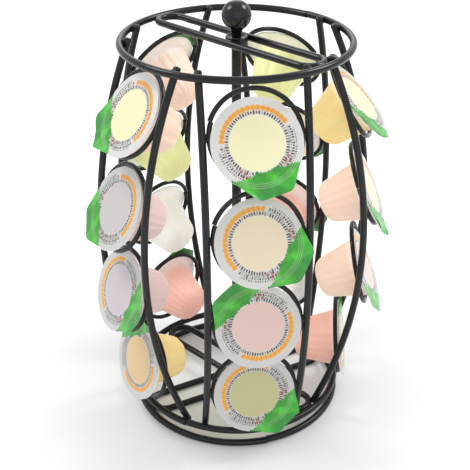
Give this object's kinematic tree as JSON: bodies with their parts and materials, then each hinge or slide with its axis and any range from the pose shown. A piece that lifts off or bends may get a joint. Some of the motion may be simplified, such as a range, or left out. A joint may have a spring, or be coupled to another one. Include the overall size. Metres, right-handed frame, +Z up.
{
  "type": "coffee capsule dispenser",
  "caption": "Barrel-shaped wire carousel that turns on a round base and holds single-serve capsules, nose down, in tilted rings below a ball knob.",
  "frame": {"origin": "on the turning axis at table level", "axes": "+Z up along the turning axis, -Y out through the front column, +X to the right of someone facing it"},
  "size_m": [0.1948, 0.1877, 0.2801],
  "materials": {
    "wire": "satin black powder coat",
    "knob": "gloss black",
    "washer": "plain nylon",
    "cup_lime": "satin, slightly translucent",
    "cup_orange": "satin, slightly translucent",
    "cup_peach": "satin, slightly translucent",
    "cup_salmon": "satin, slightly translucent",
    "cup_mauve": "satin, slightly translucent",
    "cup_white": "satin, slightly translucent",
    "lid_pale_yellow": "printed foil",
    "lid_cream": "printed foil",
    "lid_pink": "printed foil",
    "lid_olive": "printed foil",
    "lid_grey": "printed foil",
    "lid_lilac": "printed foil",
    "lid_orange": "printed foil"
  },
  "bodies": {
    "base": {"base_ring": "wire", "base_crossbar": "wire", "base_hub": "wire", "centre_post": "wire", "thrust_washer": "washer", "ball_knob": "knob"},
    "carousel": {"bottom_ring": "wire", "bottom_crossbar": "wire", "bottom_bushing": "wire", "top_ring": "wire", "top_crossbar": "wire", "top_bushing": "wire", "left_uprights": "wire", "right_uprights": "wire", "tier_1_rings": "wire", "tier_2_rings": "wire", "tier_3_rings": "wire", "tier_4_rings": "wire"},
    "capsule_front_1": {"cup_front_1": "cup_lime", "lid_front_1": "lid_pale_yellow"},
    "capsule_front_2": {"cup_front_2": "cup_orange", "lid_front_2": "lid_cream"},
    "capsule_front_3": {"cup_front_3": "cup_mauve", "lid_front_3": "lid_pink"},
    "capsule_front_4": {"cup_front_4": "cup_lime", "lid_front_4": "lid_olive"},
    "capsule_right_1": {"cup_right_1": "cup_orange", "lid_right_1": "lid_pale_yellow"},
    "capsule_right_2": {"cup_right_2": "cup_peach", "lid_right_2": "lid_cream"},
    "capsule_right_3": {"cup_right_3": "cup_peach", "lid_right_3": "lid_pink"},
    "capsule_right_4": {"cup_right_4": "cup_salmon", "lid_right_4": "lid_cream"},
    "capsule_right_back_1": {"cup_right_back_1": "cup_lime", "lid_right_back_1": "lid_olive"},
    "capsule_right_back_2": {"cup_right_back_2": "cup_peach", "lid_right_back_2": "lid_cream"},
    "capsule_right_back_3": {"cup_right_back_3": "cup_salmon", "lid_right_back_3": "lid_pink"},
    "capsule_right_back_4": {"cup_right_back_4": "cup_white", "lid_right_back_4": "lid_grey"},
    "capsule_left_back_1": {"cup_left_back_1": "cup_peach", "lid_left_back_1": "lid_pink"},
    "capsule_left_back_2": {"cup_left_back_2": "cup_lime", "lid_left_back_2": "lid_olive"},
    "capsule_left_back_3": {"cup_left_back_3": "cup_white", "lid_left_back_3": "lid_grey"},
    "capsule_left_back_4": {"cup_left_back_4": "cup_salmon", "lid_left_back_4": "lid_orange"},
    "capsule_left_1": {"cup_left_1": "cup_peach", "lid_left_1": "lid_pale_yellow"},
    "capsule_left_2": {"cup_left_2": "cup_mauve", "lid_left_2": "lid_grey"},
    "capsule_left_3": {"cup_left_3": "cup_mauve", "lid_left_3": "lid_lilac"},
    "capsule_left_4": {"cup_left_4": "cup_orange", "lid_left_4": "lid_orange"}
  },
  "joints": [
    {"name": "carousel_turn", "type": "hinge", "parent": "base", "child": "carousel", "pos_m": [0, 0, 0], "axis": [0, 0, 1], "continuous": true},
    {"name": "capsule_front_1_pull", "type": "slide", "parent": "carousel", "child": "capsule_front_1", "axis": [0, -0.8704, 0.4924], "range_m": [0, 0.04]},
    {"name": "capsule_front_2_pull", "type": "slide", "parent": "carousel", "child": "capsule_front_2", "axis": [0, -0.9304, 0.3665], "range_m": [0, 0.04]},
    {"name": "capsule_front_3_pull", "type": "slide", "parent": "carousel", "child": "capsule_front_3", "axis": [0, -0.9724, 0.2334], "range_m": [0, 0.04]},
    {"name": "capsule_front_4_pull", "type": "slide", "parent": "carousel", "child": "capsule_front_4", "axis": [0, -0.9954, 0.0958], "range_m": [0, 0.04]},
    {"name": "capsule_right_1_pull", "type": "slide", "parent": "carousel", "child": "capsule_right_1", "axis": [0.8366, -0.2399, 0.4924], "range_m": [0, 0.04]},
    {"name": "capsule_right_2_pull", "type": "slide", "parent": "carousel", "child": "capsule_right_2", "axis": [0.8944, -0.2565, 0.3665], "range_m": [0, 0.04]},
    {"name": "capsule_right_3_pull", "type": "slide", "parent": "carousel", "child": "capsule_right_3", "axis": [0.9347, -0.268, 0.2334], "range_m": [0, 0.04]},
    {"name": "capsule_right_4_pull", "type": "slide", "parent": "carousel", "child": "capsule_right_4", "axis": [0.9568, -0.2744, 0.0958], "range_m": [0, 0.04]},
    {"name": "capsule_right_back_1_pull", "type": "slide", "parent": "carousel", "child": "capsule_right_back_1", "axis": [0.4992, 0.713, 0.4924], "range_m": [0, 0.04]},
    {"name": "capsule_right_back_2_pull", "type": "slide", "parent": "carousel", "child": "capsule_right_back_2", "axis": [0.5337, 0.7622, 0.3665], "range_m": [0, 0.04]},
    {"name": "capsule_right_back_3_pull", "type": "slide", "parent": "carousel", "child": "capsule_right_back_3", "axis": [0.5577, 0.7965, 0.2334], "range_m": [0, 0.04]},
    {"name": "capsule_right_back_4_pull", "type": "slide", "parent": "carousel", "child": "capsule_right_back_4", "axis": [0.5709, 0.8154, 0.0958], "range_m": [0, 0.04]},
    {"name": "capsule_left_back_1_pull", "type": "slide", "parent": "carousel", "child": "capsule_left_back_1", "axis": [-0.4992, 0.713, 0.4924], "range_m": [0, 0.04]},
    {"name": "capsule_left_back_2_pull", "type": "slide", "parent": "carousel", "child": "capsule_left_back_2", "axis": [-0.5337, 0.7622, 0.3665], "range_m": [0, 0.04]},
    {"name": "capsule_left_back_3_pull", "type": "slide", "parent": "carousel", "child": "capsule_left_back_3", "axis": [-0.5577, 0.7965, 0.2334], "range_m": [0, 0.04]},
    {"name": "capsule_left_back_4_pull", "type": "slide", "parent": "carousel", "child": "capsule_left_back_4", "axis": [-0.5709, 0.8154, 0.0958], "range_m": [0, 0.04]},
    {"name": "capsule_left_1_pull", "type": "slide", "parent": "carousel", "child": "capsule_left_1", "axis": [-0.8012, -0.3401, 0.4924], "range_m": [0, 0.04]},
    {"name": "capsule_left_2_pull", "type": "slide", "parent": "carousel", "child": "capsule_left_2", "axis": [-0.8565, -0.3635, 0.3665], "range_m": [0, 0.04]},
    {"name": "capsule_left_3_pull", "type": "slide", "parent": "carousel", "child": "capsule_left_3", "axis": [-0.8951, -0.3799, 0.2334], "range_m": [0, 0.04]},
    {"name": "capsule_left_4_pull", "type": "slide", "parent": "carousel", "child": "capsule_left_4", "axis": [-0.9163, -0.3889, 0.0958], "range_m": [0, 0.04]}
  ]
}
